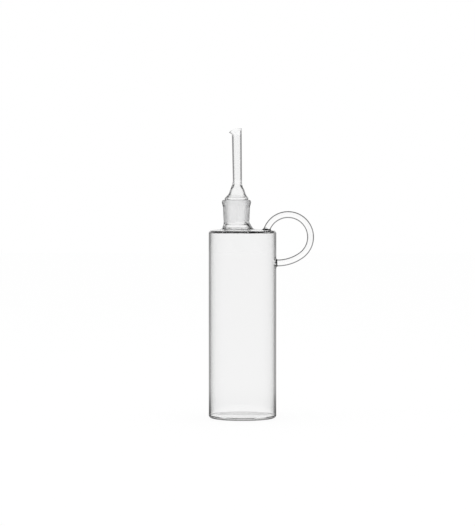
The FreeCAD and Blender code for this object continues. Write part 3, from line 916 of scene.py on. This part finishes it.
def across_rod(tree, centre):
    """The slant of the surface across the rod alone, for a rod bent into a ring that faces Y."""
    place = add_node(tree, "TexCoord")
    spoke = add_node(tree, "VectorMath", operation="SUBTRACT")
    spoke.inputs[1].default_value = centre
    tree.links.new(place.outputs["Object"], spoke.inputs[0])
    way = add_node(tree, "VectorMath", operation="CROSS_PRODUCT")
    way.inputs[1].default_value = (0, 1, 0)
    tree.links.new(spoke.outputs["Vector"], way.inputs[0])
    rod = add_node(tree, "VectorMath", operation="NORMALIZE")
    tree.links.new(way.outputs["Vector"], rod.inputs[0])
    end_on = add_node(tree, "LayerWeight", Blend=0.5)
    tree.links.new(rod.outputs["Vector"], end_on.inputs["Normal"])
    along = chain(tree, "SUBTRACT", 1.0, end_on.outputs["Facing"])
    rest = chain(tree, "SUBTRACT", 1.0, chain(tree, "MULTIPLY", along, along))
    sideways = chain(tree, "MAXIMUM", chain(tree, "POWER", rest, 0.5), LEAST_SIDEWAYS)
    front = chain(tree, "DIVIDE", chain(tree, "SUBTRACT", 1.0, slope(tree)), sideways)
    return chain(tree, "SUBTRACT", 1.0, chain(tree, "MINIMUM", front, 1.0))


def dress(context, piece):
    """Gives a piece its three kinds of glass, in the order that GROUND and ROD count on."""
    for finish in (clear_glass, ground_glass, rod_glass):
        piece.data.materials.append(bpy.data.materials.get(finish.__name__) or finish(context))


# -----------------------------------------------------------------------------
# Stage
# -----------------------------------------------------------------------------

HAZE_RISE = 0.04  # rise of the angle's sine over which the haze comes in
HAZE_FADE = 0.06  # and goes out
STEEP_FADE = 0.04  # change of slant over which the steep part of the floor ends
FLOOR_GREY = 0.99
FLOOR_ROUGHNESS = 0.9
FLOOR_DROP = 0.0002  # keeps the floor clear of the bottle's underside
LAMP_TARGET = (0, 0, 0.14)
# Place and size of each lamp
LAMPS = {
    "left_box": ((-1.6, -0.6, 1.0), (0.5, 1.2)),
    "top_box": ((0, 0.1, 1.9), (1.2, 1.2)),
}
SENSOR = 36  # millimetres, the width of a full frame
BOUNCES = 24
GLOSSY_BOUNCES = 12


def sight(tree):
    """Whether a ray carries a view, not plain light, and whether it was mirrored on its way."""
    path = add_node(tree, "LightPath").outputs
    kinds = (path["Is Camera Ray"], path["Is Glossy Ray"], path["Is Transmission Ray"])
    return chain(tree, "MAXIMUM", *kinds), chain(tree, "GREATER_THAN", path["Glossy Depth"], 0.5)


def light_room(context, look):
    """White backdrop to the eye, a dim room in reflections, and plain light for all else."""
    world = bpy.data.worlds.new("studio")
    context.scene.world = world
    world.use_nodes = True
    tree = world.node_tree
    seen, mirrored = sight(tree)
    rise = height_of(tree, add_node(tree, "TexCoord").outputs["Generated"])
    top = look.backdrop_top
    end = top + look.backdrop_fade
    through = greys(tree, rise, ((0.0, 1.0), (top, 1.0), (end, look.overhead)))
    room = greys(tree, rise, (
        (look.haze_foot, look.room),
        (look.haze_foot + HAZE_RISE, look.haze),
        (look.haze_top, look.haze),
        (look.haze_top + HAZE_FADE, look.room),
        (top, look.room),
        (end, look.ceiling),
    ))
    view = choose(tree, mirrored, through, room)
    tree.links.new(choose(tree, seen, look.fill, view), tree.nodes["Background"].inputs["Color"])


def floor_white(look):
    """White to the eye, dim in reflections with painted shade around the bottle, with a share that takes
    light and shadow.
    """
    material = bpy.data.materials.new("floor_white")
    material.use_nodes = True
    tree = material.node_tree
    shader = tree.nodes["Principled BSDF"]
    shader.inputs["Base Color"].default_value = (FLOOR_GREY, FLOOR_GREY, FLOOR_GREY, 1)
    shader.inputs["Roughness"].default_value = FLOOR_ROUGHNESS
    seen, mirrored = sight(tree)
    away = add_node(tree, "VectorMath", operation="LENGTH")
    tree.links.new(add_node(tree, "TexCoord").outputs["Object"], away.inputs[0])
    # Painted shade around the bottle, seen in reflections only: darkest at the bottle, out to the room's
    # grey
    reach = ease(tree, away.outputs["Value"], 0, look.table_reach, To_Min=look.table, To_Max=look.room)
    level = ease(tree, slope(tree), look.steep_start, look.steep_start + STEEP_FADE)
    dim = choose(tree, level, look.steep, reach)
    glow = add_node(tree, "Emission")
    tree.links.new(choose(tree, mirrored, 1.0, dim), glow.inputs["Color"])
    mix = add_node(tree, "MixShader")
    tree.links.new(chain(tree, "MULTIPLY", seen, 1 - look.floor_keep), mix.inputs[0])
    tree.links.new(shader.outputs[0], mix.inputs[1])
    tree.links.new(glow.outputs[0], mix.inputs[2])
    tree.links.new(mix.outputs[0], tree.nodes["Material Output"].inputs["Surface"])
    return material


def lay_floor(context, look):
    """Pale floor under the bottle."""
    bm = bmesh.new()
    bmesh.ops.create_grid(bm, x_segments=2, y_segments=2, size=look.floor_size / 2)
    bmesh.ops.translate(bm, verts=bm.verts, vec=(0, 0, -FLOOR_DROP))
    mesh = bpy.data.meshes.new("floor")
    bm.to_mesh(mesh)
    bm.free()
    mesh.materials.append(floor_white(look))
    floor = bpy.data.objects.new("floor", mesh)
    context.scene.collection.objects.link(floor)


def hang_lamp(context, name, place, size, power):
    """Soft rectangular lamp aimed at the bottle."""
    lamp = bpy.data.lights.new(name, "AREA")
    lamp.shape = "RECTANGLE"
    lamp.size, lamp.size_y = size
    lamp.energy = power
    holder = bpy.data.objects.new(name, lamp)
    holder.location = place
    holder.rotation_euler = (Vector(LAMP_TARGET) - Vector(place)).to_track_quat("-Z", "Y").to_euler()
    holder.visible_glossy = False
    holder.visible_transmission = False
    context.scene.collection.objects.link(holder)


def set_camera(context, look):
    """Camera in front of the bottle."""
    camera = bpy.data.cameras.new("camera")
    camera.lens = look.lens
    camera.sensor_width = SENSOR
    eye = bpy.data.objects.new("camera", camera)
    eye.location = (0, -look.camera_distance, look.eye_level)
    eye.rotation_euler = (math.pi / 2 + look.pitch, 0, look.yaw)
    context.scene.collection.objects.link(eye)
    context.scene.camera = eye


class OILBOTTLE_OT_stage(Operator):
    """Lay the floor, light the room and set up the camera"""

    bl_idname = "oilbottle.stage"
    bl_label = "Set the stage"

    def execute(self, context):
        look = context.scene.oil_bottle_studio
        context.scene.view_settings.view_transform = "Standard"
        context.scene.cycles.max_bounces = BOUNCES
        context.scene.cycles.transmission_bounces = BOUNCES
        context.scene.cycles.glossy_bounces = GLOSSY_BOUNCES
        light_room(context, look)
        lay_floor(context, look)
        for name, (place, size) in LAMPS.items():
            hang_lamp(context, name, place, size, look.lamps)
        set_camera(context, look)
        return {"FINISHED"}


# -----------------------------------------------------------------------------
# Add-on
# -----------------------------------------------------------------------------


class OILBOTTLE_PT_panel(Panel):
    """Sizes, finishes and makers of the oil bottle"""

    bl_idname = "OILBOTTLE_PT_panel"
    bl_label = "Oil bottle"
    bl_space_type = "VIEW_3D"
    bl_region_type = "UI"
    bl_category = "Oil bottle"

    def draw(self, context):
        for maker in MAKERS:
            self.layout.operator(maker.bl_idname)
        for group in GROUPS:
            box = self.layout.box()
            settings = getattr(context.scene, group)
            for name in settings.__annotations__:
                box.prop(settings, name)


GROUPS = {
    "oil_bottle": BottleSizes,
    "oil_bottle_handle": HandleSizes,
    "oil_bottle_pourer": PourerSizes,
    "oil_bottle_look": GlassLook,
    "oil_bottle_studio": StudioLook,
}
MAKERS = (OILBOTTLE_OT_bottle, OILBOTTLE_OT_handle, OILBOTTLE_OT_pourer, OILBOTTLE_OT_stage)


def register():
    for item in (*GROUPS.values(), *MAKERS, OILBOTTLE_PT_panel):
        bpy.utils.register_class(item)
    for name, group in GROUPS.items():
        setattr(bpy.types.Scene, name, PointerProperty(type=group))


def unregister():
    for name in GROUPS:
        delattr(bpy.types.Scene, name)
    for item in (OILBOTTLE_PT_panel, *MAKERS, *GROUPS.values()):
        bpy.utils.unregister_class(item)


def main():
    register()
    bpy.ops.oilbottle.stage()
    bpy.ops.oilbottle.bottle()
    bpy.ops.oilbottle.handle()
    bpy.ops.oilbottle.pourer()


if __name__ == "__main__":
    main()
